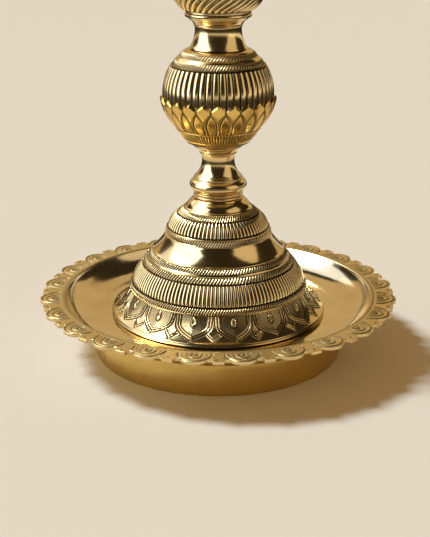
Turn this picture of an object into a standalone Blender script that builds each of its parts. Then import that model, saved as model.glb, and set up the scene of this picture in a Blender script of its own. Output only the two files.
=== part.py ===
"""Brass standing oil lamp (samai): a turned and chased stem that stands in a lobed drip dish.

Every piece is turned about the world Z axis, which is also the axis of every thread in the lamp.
The lamp stands on z = 0. Outlines are given as (radius, height) in millimetres, anticlockwise
in the half plane, so that the outer side of a piece runs upwards.
"""

import math

import bpy

MM = 0.001

# Clearances
SEAT_GAP = 0.3
BORE_GAP = 0.3

# Threaded joints: coarse brass studs that join the sections of the lamp
STUD_R = 4.7
STUD_BORE_R = STUD_R + BORE_GAP
THREAD_PITCH = 2.0
THREAD_TURNS = 5
ENGAGEMENT = THREAD_PITCH * THREAD_TURNS
CORE_R = 7.6
CORE_BORE_R = CORE_R + BORE_GAP

# Drip dish and its foot ring
RING_R = 75.1
RING_WALL = 3.8
RING_TOP = 21.0
FLOOR_UNDER = RING_TOP + SEAT_GAP
FLOOR_TOP = 24.0
FLOOR_R = 79.0
RIM_INNER_R = 93.3
RIM_R = 108.0
RIM_TOP = 35.4
RIM_UNDER = 32.6
RIM_PETALS = 24
RIM_VALLEY = 3.4
RIM_TOOTH = 2.4
TOOTH_FROM = 0.93
DISH_SIDE_BOW = 2.6

# Bell base: the flare, the lower reeds, the shoulder and the upper reeds, each between two bands
BELL_FOOT = FLOOR_TOP + SEAT_GAP
BELL_FOOT_R = 64.3
FLARE_FOOT = (62.6, 27.5)
FLARE_TOP = (52.8, 39.1)
FLARE_BOW = -1.2
LOWER_REEDS_FOOT = (52.2, 43.8)
LOWER_REEDS_TOP = (45.6, 55.6)
SHOULDER_FOOT = (40.0, 62.7)
SHOULDER_TOP = (31.6, 72.8)
UPPER_REEDS_FOOT = (30.4, 77.4)
UPPER_REEDS_TOP = (23.9, 86.2)
REEDS_BOW = 0.7
BELL_TOP = 95.4
BELL_TOP_R = 15.2
BELL_CROWN = 84.0
BELL_CROWN_R = 21.5
SOCKET_R = 9.8
SOCKET_FLANGE_R = 16.0
SOCKET_BOTTOM = 80.0

# Lower stem, from the bell to the first threaded joint above it
STEM_FOOT = BELL_TOP + SEAT_GAP
NECK_RING_R = 14.6
COLLAR_FOOT = 99.6
COLLAR_R = 15.2
COLLAR_ROLL_TOP = 106.2
COLLAR_WAIST = (9.9, 119.0)
COLLAR_TOP = 129.6
COLLAR_TOP_R = 18.6
CUP_TOP = 156.0
CUP_TOP_R = 34.2
CUP_WALL_FOOT = (25.2, 137.8)
CUP_LEDGE_R = 30.9
CUP_FLOOR = 133.5
CUP_VALLEY = 153.4
CUP_LEDGE = 152.3
CUP_PETALS = 24
DOME_R = 32.3
DOME_CENTRE = 157.0
FLUTES_TOP = 174.1
DOME_TOP = 182.6
DOME_TOP_R = 17.2
DOME_SPIGOT_R = 30.5
TRUMPET_WAIST = (13.1, 192.0)
TRUMPET_TOP = 203.2
KNOP_R = 28.0
KNOP_CENTRE = 220.0
KNOP_HALF_HEIGHT = 22.5
KNOP_TOP = 236.8
KNOP_WALL = 2.6
KNOP_MOUTH_R = 16.6
CAP_TOP = 240.0
CAP_R = 19.0

# Upper stem
UPPER_FOOT = CAP_TOP + SEAT_GAP
UPPER_NECK_TOP = 262.5
UPPER_BALL_TOP = 275.2
UPPER_BALL_R = 15.8
UPPER_BALL_END_R = 12.6
UPPER_WAIST = (10.3, 286.0)
CALYX_FOOT = (10.9, 292.0)
CALYX_TOP = (27.6, 308.6)
UPPER_TOP = 313.5

# Oil bowl with its wick spouts
BOWL_FOOT = UPPER_TOP + SEAT_GAP
BOWL_FLOOR = 316.6
BOWL_FOOT_R = 33.0
BOWL_RIM = 340.5
BOWL_RIM_R = 58.5
BOWL_WALL = 3.0
SPOUTS = 5
SPOUT_REACH = 14.0
SPOUT_HALF_ANGLE = math.radians(21)
BOSS_TOP = 336.0
BOSS_R = 11.5

# Finial
FINIAL_FOOT = BOSS_TOP + SEAT_GAP
FINIAL_CUP_TOP = 356.0
FINIAL_BALL_TOP = 383.0
FINIAL_BALL_R = 17.0
FINIAL_BALL_END_R = 10.5
SHANK_END = 349.0
BUD_FOOT = (4.0, 430.0)
BUD_TOP = (2.2, 452.5)
BUD_BOW = 2.9
LAMP_HEIGHT = 457.0

# Facets round a piece
FINE = 96
SPOUTED = 60
ON_AXIS = 1e-6
PETALLED = 48
WIDE = 36
PLAIN = 24
SMALL = 16

POLISHED = (0.79, 0.62, 0.33)
SATIN = (0.72, 0.54, 0.27)
DARK = (0.52, 0.38, 0.18)
SMOOTH_BELOW = math.radians(32)


def clear_scene():
    for found in list(bpy.data.objects):
        bpy.data.objects.remove(found, do_unlink=True)


def brass(name, colour, roughness):
    """One Principled brass for one piece."""
    material = bpy.data.materials.new(name)
    material.use_nodes = True
    shader = material.node_tree.nodes["Principled BSDF"]
    shader.inputs["Base Color"].default_value = (*colour, 1.0)
    shader.inputs["Roughness"].default_value = roughness
    shader.inputs["Metallic"].default_value = 1.0
    material.diffuse_color = (*colour, 1.0)
    return material


def body_at(name, height, parent=None):
    """An empty on the lamp's axis: the frame of one body that lifts or unscrews."""
    empty = bpy.data.objects.new(name, None)
    bpy.context.scene.collection.objects.link(empty)
    below = parent["height"] if parent else 0.0
    empty["height"] = height
    empty.parent = parent
    empty.location = (0.0, 0.0, (height - below) * MM)
    return empty


def arc(start, end, sagitta, steps):
    """Points of a circular arc from start up to and including end.

    A positive sagitta bows to the right of the way from start to end, which is outwards
    on a side that runs upwards.
    """
    (r0, z0), (r1, z1) = start, end
    chord = math.hypot(r1 - r0, z1 - z0)
    across = ((z1 - z0) / chord, -(r1 - r0) / chord)
    half = 2.0 * math.atan(2.0 * abs(sagitta) / chord)
    radius = chord / (2.0 * math.sin(half))
    points = []
    for step in range(steps + 1):
        turn = half * (2.0 * step / steps - 1.0)
        along = 0.5 + 0.5 * math.sin(turn) / math.sin(half)
        bow = math.copysign(radius * (math.cos(turn) - math.cos(half)), sagitta)
        r = r0 + (r1 - r0) * along + across[0] * bow
        z = z0 + (z1 - z0) * along + across[1] * bow
        points.append((r, z))
    return points


def turned(name, outline, facets, material, parent, shape=None):
    """A solid of revolution of a closed outline; shape(angle, radius, height) may vary it round the axis."""
    foot = min(height for _, height in outline)
    vertices = []
    loops = []
    for radius, height in outline:
        if radius < ON_AXIS:
            loops.append([len(vertices)] * facets)
            vertices.append((0.0, 0.0, (height - foot) * MM))
            continue
        loops.append(list(range(len(vertices), len(vertices) + facets)))
        for facet in range(facets):
            angle = 2.0 * math.pi * facet / facets - math.pi / 2.0
            r, z = shape(angle, radius, height) if shape else (radius, height)
            vertices.append((r * math.cos(angle) * MM, r * math.sin(angle) * MM, (z - foot) * MM))
    faces = []
    for low, high in zip(loops, loops[1:] + loops[:1]):
        for facet in range(facets):
            after = (facet + 1) % facets
            corners = [low[facet], low[after], high[after], high[facet]]
            face = list(dict.fromkeys(corners))
            if len(face) > 2:
                faces.append(face)
    mesh = bpy.data.meshes.new(name)
    mesh.from_pydata(vertices, [], faces)
    mesh.shade_smooth()
    mesh.set_sharp_from_angle(angle=SMOOTH_BELOW)
    mesh.materials.append(material)
    piece = bpy.data.objects.new(name, mesh)
    bpy.context.scene.collection.objects.link(piece)
    piece.parent = parent
    piece.location = (0.0, 0.0, (foot - parent["height"]) * MM)
    return piece


def tube(low, high, outer, inner):
    """The outline of a plain tube."""
    return [(outer, low), (outer, high), (inner, high), (inner, low)]


# Drip plate


def rim_edge(angle, radius, height):
    """The scalloped edge: round petals with a short square tooth in each valley between them."""
    if radius < RIM_R - 0.01:
        return radius, height
    petal = 2.0 * math.pi / RIM_PETALS
    across = abs((angle + math.pi / 2.0) % petal / petal - 0.5) * 2.0
    if across > TOOTH_FROM:
        return radius - RIM_TOOTH, height
    return radius - RIM_VALLEY * across**2.2, height


def drip_dish(parent):
    under = arc((FLOOR_R - 1.0, FLOOR_UNDER), (RIM_INNER_R + 1.7, RIM_UNDER), 2.4, 2)
    inside = arc((RIM_INNER_R, RIM_TOP - 0.4), (FLOOR_R, FLOOR_TOP), -DISH_SIDE_BOW, 3)
    outline = [(0.0, FLOOR_UNDER), *under, (RIM_R, RIM_UNDER), (RIM_R, RIM_TOP)]
    outline += [(RIM_INNER_R + 0.5, RIM_TOP), *inside, (0.0, FLOOR_TOP)]
    turned("drip_dish", outline, FINE, brass("dish_brass", SATIN, 0.3), parent, rim_edge)


def foot_ring(parent):
    outline = tube(0.0, RING_TOP, RING_R, RING_R - RING_WALL)
    turned("foot_ring", outline, PETALLED, brass("ring_brass", SATIN, 0.42), parent)


# Bell base


def bell_base(parent):
    outer = [(BELL_FOOT_R, BELL_FOOT), (BELL_FOOT_R + 0.5, BELL_FOOT + 1.3), (63.4, 27.2)]
    outer += arc(FLARE_FOOT, FLARE_TOP, FLARE_BOW, 4)
    outer += [(53.5, 40.2), (53.5, 42.4), (52.4, 43.5)]
    outer += arc(LOWER_REEDS_FOOT, LOWER_REEDS_TOP, REEDS_BOW, 4)
    outer += [(43.4, 58.6), (41.9, 59.6), SHOULDER_FOOT, SHOULDER_TOP, (31.1, 76.4)]
    outer += arc(UPPER_REEDS_FOOT, UPPER_REEDS_TOP, REEDS_BOW, 3)
    outer += [(20.0, 89.3), (BELL_TOP_R, BELL_TOP - 1.0), (BELL_TOP_R - 0.8, BELL_TOP)]
    bore = SOCKET_R + BORE_GAP
    inner = [(bore, BELL_TOP), (bore, BELL_CROWN), (BELL_CROWN_R, BELL_CROWN), (27.2, 76.0)]
    inner += [(28.4, 72.0), (41.4, 55.5), (49.2, 43.4), (50.0, 39.0), (60.6, BELL_FOOT)]
    turned("bell_base", outer + inner, WIDE, brass("bell_brass", POLISHED, 0.12), parent)


def bell_socket(parent):
    flange_top = BELL_CROWN - SEAT_GAP
    outline = [(SOCKET_FLANGE_R, SOCKET_BOTTOM), (SOCKET_FLANGE_R, flange_top), (SOCKET_R, flange_top)]
    outline += [(SOCKET_R, BELL_TOP), (STUD_BORE_R, BELL_TOP), (STUD_BORE_R, SOCKET_BOTTOM)]
    turned("bell_socket", outline, SMALL, brass("socket_brass", DARK, 0.35), parent)


# Threaded joints


def stud(name, low, high, parent):
    """A threaded stud, at its outside diameter, with chamfered ends."""
    chamfer = 0.8
    outline = [(0.0, low), (STUD_R - chamfer, low), (STUD_R, low + chamfer), (STUD_R, high - chamfer)]
    outline += [(STUD_R - chamfer, high), (0.0, high)]
    turned(name, outline, SMALL, brass(name + "_brass", DARK, 0.3), parent)


# Lower stem


def lower_core(parent):
    outline = tube(STEM_FOOT + SEAT_GAP, CAP_TOP - SEAT_GAP, CORE_R, STUD_BORE_R)
    turned("lower_core", outline, SMALL, brass("lower_core_brass", DARK, 0.35), parent)


def neck_ring(parent):
    top = COLLAR_FOOT - SEAT_GAP
    middle = (STEM_FOOT + top) / 2.0
    outline = [(NECK_RING_R, STEM_FOOT), (NECK_RING_R + 0.2, middle - 0.5), (NECK_RING_R - 0.7, middle)]
    outline += [(NECK_RING_R + 0.2, middle + 0.5), (NECK_RING_R, top)]
    outline += [(CORE_BORE_R, top), (CORE_BORE_R, STEM_FOOT)]
    turned("neck_ring", outline, PLAIN, brass("neck_ring_brass", POLISHED, 0.15), parent)


def collar_spool(parent):
    outline = arc((COLLAR_R, COLLAR_FOOT), (COLLAR_R, COLLAR_ROLL_TOP), 1.7, 4)
    outline += [(13.9, 108.2), (12.2, 111.2), (10.5, 115.0), COLLAR_WAIST, (10.4, 122.4)]
    outline += [(12.2, 125.0), (15.2, 127.2), (COLLAR_TOP_R, COLLAR_TOP - 0.6), (COLLAR_TOP_R, COLLAR_TOP)]
    outline += [(CORE_BORE_R, COLLAR_TOP), (CORE_BORE_R, COLLAR_FOOT)]
    turned("collar_spool", outline, PLAIN, brass("collar_brass", POLISHED, 0.1), parent)


def petal_rim(angle, radius, height):
    """The cup's rim: one point per petal, with a valley between each two."""
    if height < CUP_TOP - 0.01:
        return radius, height
    petal = 2.0 * math.pi / CUP_PETALS
    across = abs((angle + math.pi / 2.0) / petal - round((angle + math.pi / 2.0) / petal)) * 2.0
    return radius, height - (CUP_TOP - CUP_VALLEY) * across


def lotus_cup(parent):
    foot = COLLAR_TOP + SEAT_GAP
    mouth = CUP_TOP_R - 1.5
    outline = [(19.2, foot), (20.0, 131.4), (24.3, 136.9)]
    outline += arc(CUP_WALL_FOOT, (33.6, 152.8), 1.6, 3)
    outline += [(CUP_TOP_R, CUP_TOP), (mouth, CUP_TOP), (mouth, CUP_LEDGE), (CUP_LEDGE_R, CUP_LEDGE)]
    outline += [(CUP_LEDGE_R, 150.0), (28.0, 144.0), (21.0, 136.5), (14.0, CUP_FLOOR)]
    outline += [(CORE_BORE_R, CUP_FLOOR), (CORE_BORE_R, foot)]
    turned("lotus_cup", outline, PETALLED, brass("cup_brass", SATIN, 0.22), parent, petal_rim)


def fluted_dome(parent):
    shoulder = CUP_LEDGE + SEAT_GAP
    spigot_foot = shoulder - 2.2
    outline = [(28.4, spigot_foot), (DOME_SPIGOT_R, spigot_foot), (DOME_SPIGOT_R, shoulder)]
    outline.append((DOME_R - 0.1, shoulder))
    for height in (DOME_CENTRE, 162.0, 167.0, 171.0, FLUTES_TOP):
        outline.append((math.sqrt(DOME_R**2 - (height - DOME_CENTRE) ** 2), height))
    outline += [(25.2, 174.8), (24.4, 176.9), (22.2, 178.9), (20.6, 181.2), (DOME_TOP_R, DOME_TOP)]
    outline += [(CORE_BORE_R, DOME_TOP), (CORE_BORE_R, 179.4), (17.0, 179.0)]
    outline += [(24.0, 172.0), (28.8, 164.0), (30.2, 157.0), (28.4, 152.0)]
    turned("fluted_dome", outline, PLAIN, brass("dome_brass", POLISHED, 0.14), parent)


def neck_trumpet(parent):
    foot = DOME_TOP + SEAT_GAP
    outline = [(16.6, foot), (15.1, 185.0), (13.7, 188.0), TRUMPET_WAIST, (13.7, 195.6)]
    outline += [(15.2, 198.6), (18.6, 200.9), (CAP_R, 201.6), (CAP_R, TRUMPET_TOP)]
    outline += [(CORE_BORE_R, TRUMPET_TOP), (CORE_BORE_R, foot)]
    turned("neck_trumpet", outline, PLAIN, brass("trumpet_brass", POLISHED, 0.1), parent)


def spiral_knop(parent):
    """A hollow ball, open to its bore, whose outside carries the spiral reeds."""
    foot = TRUMPET_TOP + SEAT_GAP
    ceiling = KNOP_TOP - KNOP_WALL
    floor = foot + KNOP_WALL
    steps = 6
    outline = []
    for step in range(steps + 1):
        height = foot + (KNOP_TOP - foot) * step / steps
        share = (height - KNOP_CENTRE) / KNOP_HALF_HEIGHT
        outline.append((KNOP_R * math.sqrt(1.0 - share**2), height))
    outline += [(CORE_BORE_R, KNOP_TOP), (CORE_BORE_R, ceiling), (KNOP_MOUTH_R, ceiling)]
    outline += [(KNOP_R - KNOP_WALL, KNOP_CENTRE), (KNOP_MOUTH_R, floor)]
    outline += [(CORE_BORE_R, floor), (CORE_BORE_R, foot)]
    turned("spiral_knop", outline, PLAIN, brass("knop_brass", POLISHED, 0.14), parent)


def knop_cap(parent):
    foot = KNOP_TOP + SEAT_GAP
    outline = tube(foot, CAP_TOP, CAP_R, CORE_BORE_R)
    turned("knop_cap", outline, PLAIN, brass("cap_brass", POLISHED, 0.15), parent)


# Upper stem


def upper_core(parent):
    outline = tube(UPPER_FOOT + SEAT_GAP, UPPER_TOP - SEAT_GAP, CORE_R, STUD_BORE_R)
    turned("upper_core", outline, SMALL, brass("upper_core_brass", DARK, 0.35), parent)


def upper_neck(parent):
    lip = 14.6
    outline = [(CAP_R, UPPER_FOOT), (CAP_R, UPPER_FOOT + 2.3)]
    outline += arc((16.2, 243.4), (13.6, 260.6), -4.6, 5)
    outline += [(lip, 261.2), (lip, UPPER_NECK_TOP)]
    outline += [(CORE_BORE_R, UPPER_NECK_TOP), (CORE_BORE_R, UPPER_FOOT)]
    turned("upper_neck", outline, PLAIN, brass("upper_neck_brass", POLISHED, 0.1), parent)


def upper_ball(parent):
    foot = UPPER_NECK_TOP + SEAT_GAP
    proud = UPPER_BALL_R - UPPER_BALL_END_R
    outline = arc((UPPER_BALL_END_R, foot), (UPPER_BALL_END_R, UPPER_BALL_TOP), proud, 5)
    outline += [(CORE_BORE_R, UPPER_BALL_TOP), (CORE_BORE_R, foot)]
    turned("upper_ball", outline, PLAIN, brass("upper_ball_brass", POLISHED, 0.14), parent)


def bowl_trumpet(parent):
    """The flared top of the stem, which carries the bowl."""
    foot = UPPER_BALL_TOP + SEAT_GAP
    outline = [(13.4, foot), (13.4, 277.6), (11.2, 279.6), UPPER_WAIST]
    outline += arc(CALYX_FOOT, CALYX_TOP, -3.4, 4)
    outline += [(29.0, 309.4), (29.0, 311.6), (BOWL_FOOT_R, 312.2), (BOWL_FOOT_R, UPPER_TOP)]
    outline += [(CORE_BORE_R, UPPER_TOP), (CORE_BORE_R, foot)]
    turned("bowl_trumpet", outline, PLAIN, brass("bowl_trumpet_brass", POLISHED, 0.1), parent)


# Oil bowl


def spout_pull(angle):
    """How far the wall is drawn out at this angle: 1 on a spout's point, 0 between the spouts."""
    step = 2.0 * math.pi / SPOUTS
    off = abs((angle + math.pi / 2.0 + step / 2.0) % step - step / 2.0)
    share = max(0.0, 1.0 - off / SPOUT_HALF_ANGLE)
    return share**1.5


def bowl_wall(angle, radius, height):
    rise = max(0.0, (height - BOWL_FLOOR) / (BOWL_RIM - BOWL_FLOOR))
    return radius + SPOUT_REACH * spout_pull(angle) * rise**1.6, height


def oil_bowl(parent):
    rim_in = BOWL_RIM_R - BOWL_WALL
    outline = [(BOWL_FOOT_R, BOWL_FOOT)]
    outline += arc((BOWL_FOOT_R + 3.0, BOWL_FOOT + 0.4), (BOWL_RIM_R - 1.5, 335.5), 4.4, 4)
    outline += [(BOWL_RIM_R, 337.5), (BOWL_RIM_R, BOWL_RIM), (rim_in, BOWL_RIM)]
    outline += arc((rim_in - 1.2, 336.0), (BOWL_FOOT_R + 3.0, BOWL_FLOOR), -3.9, 3)
    outline += [(CORE_BORE_R, BOWL_FLOOR), (CORE_BORE_R, BOWL_FOOT)]
    turned("oil_bowl", outline, SPOUTED, brass("bowl_brass", POLISHED, 0.16), parent, bowl_wall)


def bowl_boss(parent):
    """The pillar in the middle of the bowl, with a threaded bore for the stud below and the one above."""
    flange = BOWL_FLOOR + SEAT_GAP
    outline = [(CORE_R, BOWL_FOOT), (CORE_R, flange), (BOSS_R + 2.5, flange), (BOSS_R + 2.5, flange + 2.0)]
    outline += [(BOSS_R - 1.6, flange + 3.4), (BOSS_R - 2.4, 326.0), (BOSS_R, 332.0), (BOSS_R, BOSS_TOP)]
    outline += [(STUD_BORE_R, BOSS_TOP), (STUD_BORE_R, BOWL_FOOT)]
    turned("bowl_boss", outline, SMALL, brass("boss_brass", POLISHED, 0.2), parent)


# Finial


def finial_cup(parent):
    outline = [(13.0, FINIAL_FOOT), (14.2, FINIAL_FOOT + 1.4), (13.0, FINIAL_FOOT + 2.8)]
    outline += arc((11.6, FINIAL_FOOT + 3.6), (14.8, 353.6), -3.2, 4)
    outline += [(16.0, 354.4), (16.0, FINIAL_CUP_TOP), (STUD_BORE_R, FINIAL_CUP_TOP)]
    outline.append((STUD_BORE_R, FINIAL_FOOT))
    turned("finial_cup", outline, PLAIN, brass("finial_cup_brass", POLISHED, 0.12), parent)


def finial_ball(parent):
    foot = FINIAL_CUP_TOP + SEAT_GAP
    proud = FINIAL_BALL_R - FINIAL_BALL_END_R
    outline = arc((FINIAL_BALL_END_R, foot), (FINIAL_BALL_END_R, FINIAL_BALL_TOP), proud, 6)
    outline += [(STUD_BORE_R, FINIAL_BALL_TOP), (STUD_BORE_R, foot)]
    turned("finial_ball", outline, PLAIN, brass("finial_ball_brass", POLISHED, 0.14), parent)


def finial_spire(parent):
    """The spire and its bud, with the threaded shank that holds the ball down on the cup."""
    foot = FINIAL_BALL_TOP + SEAT_GAP
    outline = [(0.0, SHANK_END), (STUD_R, SHANK_END), (STUD_R, foot), (12.2, foot), (13.2, 385.2)]
    outline += [(12.2, 387.2), (8.6, 389.6), (6.8, 397.0), (9.4, 399.4), (9.4, 401.4), (6.4, 403.6)]
    outline += [(5.2, 414.0), (7.2, 416.0), (7.2, 417.6), (4.9, 419.6), (3.8, 428.0)]
    outline += arc(BUD_FOOT, BUD_TOP, BUD_BOW, 4)
    outline.append((0.0, LAMP_HEIGHT))
    turned("finial_spire", outline, SMALL, brass("finial_spire_brass", POLISHED, 0.1), parent)


def build():
    clear_scene()

    plate = body_at("plate_body", 0.0)
    drip_dish(plate)
    foot_ring(plate)

    bell = body_at("bell_body", BELL_FOOT, plate)
    bell_base(bell)
    bell_socket(bell)

    stem_joint = body_at("stem_joint", STEM_FOOT, bell)
    stud("stem_stud", BELL_TOP - ENGAGEMENT, STEM_FOOT + ENGAGEMENT + THREAD_PITCH, stem_joint)
    lower_core(stem_joint)
    neck_ring(stem_joint)
    collar_spool(stem_joint)
    lotus_cup(stem_joint)
    fluted_dome(stem_joint)
    neck_trumpet(stem_joint)
    spiral_knop(stem_joint)
    knop_cap(stem_joint)

    upper_joint = body_at("upper_joint", UPPER_FOOT, stem_joint)
    stud("upper_stud", CAP_TOP - ENGAGEMENT, UPPER_FOOT + ENGAGEMENT + THREAD_PITCH, upper_joint)
    upper_core(upper_joint)
    upper_neck(upper_joint)
    upper_ball(upper_joint)
    bowl_trumpet(upper_joint)

    bowl_joint = body_at("bowl_joint", BOWL_FOOT, upper_joint)
    stud("bowl_stud", UPPER_TOP - ENGAGEMENT, BOWL_FOOT + ENGAGEMENT, bowl_joint)
    oil_bowl(bowl_joint)
    bowl_boss(bowl_joint)

    finial_joint = body_at("finial_joint", FINIAL_FOOT, bowl_joint)
    stud("finial_stud", BOSS_TOP - ENGAGEMENT, FINIAL_FOOT + ENGAGEMENT, finial_joint)
    finial_cup(finial_joint)
    finial_ball(finial_joint)
    finial_spire(finial_joint)


build()
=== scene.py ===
"""Looks of the standing brass oil lamp: chased and polished turned brass, in a warm studio.

Lengths are in millimetres until a mesh is written. Every piece is turned about the world Z axis.
An angle is measured from the front of the lamp (-Y) towards its right (+X), and a height from the
foot of the piece's own CAD node, so that each piece stands where the frame says.
"""

import math

import bpy
import numpy as np
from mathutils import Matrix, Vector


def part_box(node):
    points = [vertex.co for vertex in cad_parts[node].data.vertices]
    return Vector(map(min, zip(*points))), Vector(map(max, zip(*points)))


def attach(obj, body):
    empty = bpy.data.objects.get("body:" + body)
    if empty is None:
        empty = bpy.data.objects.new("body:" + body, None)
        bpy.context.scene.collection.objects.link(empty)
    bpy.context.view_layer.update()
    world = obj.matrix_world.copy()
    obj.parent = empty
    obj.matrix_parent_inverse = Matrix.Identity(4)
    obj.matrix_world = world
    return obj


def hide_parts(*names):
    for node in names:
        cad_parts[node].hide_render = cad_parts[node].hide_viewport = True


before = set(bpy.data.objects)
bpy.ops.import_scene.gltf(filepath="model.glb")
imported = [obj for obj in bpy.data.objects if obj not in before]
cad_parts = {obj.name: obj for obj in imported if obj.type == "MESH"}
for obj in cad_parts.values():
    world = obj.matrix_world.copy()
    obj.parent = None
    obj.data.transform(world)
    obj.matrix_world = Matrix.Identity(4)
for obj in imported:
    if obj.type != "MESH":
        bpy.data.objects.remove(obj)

MM = 0.001
TAU = 2.0 * math.pi
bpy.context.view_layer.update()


# Small shape functions


def clip01(value):
    return np.clip(value, 0.0, 1.0)


def smooth(value):
    value = clip01(value)
    return value * value * (3.0 - 2.0 * value)


def stroke(distance, centre, width):
    """1 on the middle line of a cut or a ridge, falling to 0 at about twice the width."""
    return np.exp(-(((distance - centre) / width) ** 2))


def wrapped(angle, pitch):
    """The angle from the nearest multiple of the pitch."""
    return angle - pitch * np.round(angle / pitch)


# Rows of a turned piece: (radius, height, cavity, density), where radius, height and cavity are
# numbers or arrays round the piece, and density multiplies the piece's own number of facets.


def row(radius, height, cavity=0.0, density=1):
    return (radius, height, cavity, density)


def plain(*points, cavity=0.0):
    return [row(radius, height, cavity) for radius, height in points]


def arc_points(start, end, bow, steps):
    """Points of an arc from start to end, bowed to the right of the way by bow, with both ends."""
    (r0, h0), (r1, h1) = start, end
    share = np.linspace(0.0, 1.0, steps + 1)
    if abs(bow) < 1e-6:
        return np.stack([r0 + (r1 - r0) * share, h0 + (h1 - h0) * share], 1)
    chord = math.hypot(r1 - r0, h1 - h0)
    half = 2.0 * math.atan(2.0 * abs(bow) / chord)
    radius = chord / (2.0 * math.sin(half))
    turn = half * (2.0 * share - 1.0)
    along = 0.5 + 0.5 * np.sin(turn) / math.sin(half)
    out = math.copysign(1.0, bow) * radius * (np.cos(turn) - math.cos(half))
    across = ((h1 - h0) / chord, -(r1 - r0) / chord)
    return np.stack([r0 + (r1 - r0) * along + across[0] * out, h0 + (h1 - h0) * along + across[1] * out], 1)


def arc(start, end, bow, steps, cavity=0.0):
    return [row(r, h, cavity) for r, h in arc_points(start, end, bow, steps)]


def bead(radius, low, high, proud, steps=5):
    """A half-round ring, or a hollow one where proud is negative."""
    cavity = 0.0 if proud > 0 else 0.7
    return [
        row(r, h, cavity if 0 < i < steps else 0.15)
        for i, (r, h) in enumerate(arc_points((radius, low), (radius, high), proud, steps))
    ]


def worked(facets, start, end, bow, steps, relief, density=1):
    """A stretch whose surface a relief lifts or cuts: relief(angle, along, length, radius)."""
    points = arc_points(start, end, bow, steps)
    tangent = np.gradient(points, axis=0)
    tangent /= np.linalg.norm(tangent, axis=1)[:, None]
    lengths = np.concatenate([[0.0], np.cumsum(np.linalg.norm(np.diff(points, axis=0), axis=1))])
    angle = np.arange(facets * density) * TAU / (facets * density)
    rows = []
    for (radius, height), (dr, dh), along in zip(points, tangent, lengths):
        lift, cavity = relief(angle, along, lengths[-1], radius)
        rows.append(row(radius + dh * lift, height - dr * lift, cavity, density))
    return rows


# Reliefs


def reeds(count, depth, cap, first=0.0):
    """Rounded upright reeds, with a dark valley between each two and rounded ends."""

    def relief(angle, along, length, radius):
        across = np.abs(((angle - first) * count / TAU) % 1.0 * 2.0 - 1.0)
        end = max(0.0, 1.0 - along / cap, 1.0 - (length - along) / cap)
        full = np.minimum(across**2 + end**2, 1.0)
        return depth * (np.sqrt(1.0 - full) - 1.0), smooth((np.sqrt(full) - 0.52) / 0.42)

    return relief


def milled(count, depth, lean):
    """Slanting cuts, as a knurling wheel leaves them."""

    def relief(angle, along, length, radius):
        across = np.abs((angle * count / TAU - lean * along / length) % 1.0 * 2.0 - 1.0)
        cut = smooth((across - 0.2) / 0.55)
        return -depth * cut, cut

    return relief


def spiral(count, depth, twist, cap):
    """Reeds that climb round the piece by twist radians over its height."""

    def relief(angle, along, length, radius):
        phase = (angle - twist * along / length) * count / TAU
        across = np.abs(phase % 1.0 * 2.0 - 1.0)
        end = max(0.0, 1.0 - along / cap, 1.0 - (length - along) / cap)
        full = np.minimum(across**2 + end**2, 1.0)
        return depth * (np.sqrt(1.0 - full) - 1.0), smooth((np.sqrt(full) - 0.66) / 0.32)

    return relief


FLARE_PETALS = 15
FLARE_FIRST = math.radians(9.2)
PETAL_HALF = 10.5
PETAL_LENGTH = 9.2
PETAL_ROUND = 1.9


def flare_petals(angle, along, length, radius):
    """Hanging lotus petals with a double outline, a hatched field and a drop; chevrons between them."""
    pitch = TAU / FLARE_PETALS
    side = wrapped(angle - FLARE_FIRST, pitch) * radius
    x = np.abs(side)
    up = along - 1.7
    rest = 1.0 - clip01(up / PETAL_LENGTH)
    half = PETAL_HALF * (1.0 - rest**PETAL_ROUND)
    lean = PETAL_HALF * PETAL_ROUND * rest ** (PETAL_ROUND - 1.0) / PETAL_LENGTH
    inside = (half - x) / math.sqrt(1.0 + lean**2) if up > 0 else -np.hypot(x, up)
    lift = -0.34 * stroke(inside, -0.3, 0.42) + 0.2 * stroke(inside, 0.55, 0.4)
    lift += -0.34 * stroke(inside, 1.35, 0.4) + 0.2 * stroke(inside, 2.1, 0.36)
    dark = 1.3 * stroke(inside, -0.3, 0.44) + 1.3 * stroke(inside, 1.35, 0.42) + stroke(inside, 2.8, 0.36)
    field = smooth((inside - 2.6) / 0.5)
    hatch = 0.5 + 0.5 * np.sin((x * 0.9 + along) * TAU / 1.25)
    lift += -field * (0.12 + 0.2 * hatch)
    dark += field * (0.25 + 0.75 * hatch)
    drop = np.hypot(side / (1.05 - 0.08 * (up - 11.2)), (up - 11.2) / 2.0)
    lift += 0.42 * stroke(drop, 1.0, 0.28) + 0.1 * smooth((0.9 - drop) / 0.3)
    dark *= 1.0 - 0.95 * smooth((1.5 - drop) / 0.3)
    dark += 0.9 * stroke(drop, 1.7, 0.22) + 0.8 * stroke(drop, 0.3, 0.32)
    between = np.abs(wrapped(angle - FLARE_FIRST - pitch / 2.0, pitch)) * radius
    arm = (along - 1.5 - 1.05 * between) / 1.45
    outside = smooth((-inside - 0.85) / 0.4)
    lift += outside * (0.22 * stroke(arm, 0.0, 0.3) - 0.38 * stroke(arm, 0.75, 0.3))
    lift += outside * (0.2 * stroke(arm, 1.5, 0.3) - 0.34 * stroke(arm, -0.7, 0.26))
    dark += outside * (stroke(arm, 0.75, 0.34) + stroke(arm, -0.7, 0.3) + 0.4 * smooth((arm - 1.9) / 0.4))
    return lift, clip01(dark)


def thread(pitch, depth):
    """A right-hand thread."""

    def relief(angle, along, length, radius):
        groove = np.abs((along / pitch - angle / TAU) % 1.0 * 2.0 - 1.0)
        end = smooth(min(along, length - along) / 1.0)
        return -depth * groove * end, 0.7 * groove * end

    return relief


# Meshes


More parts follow.
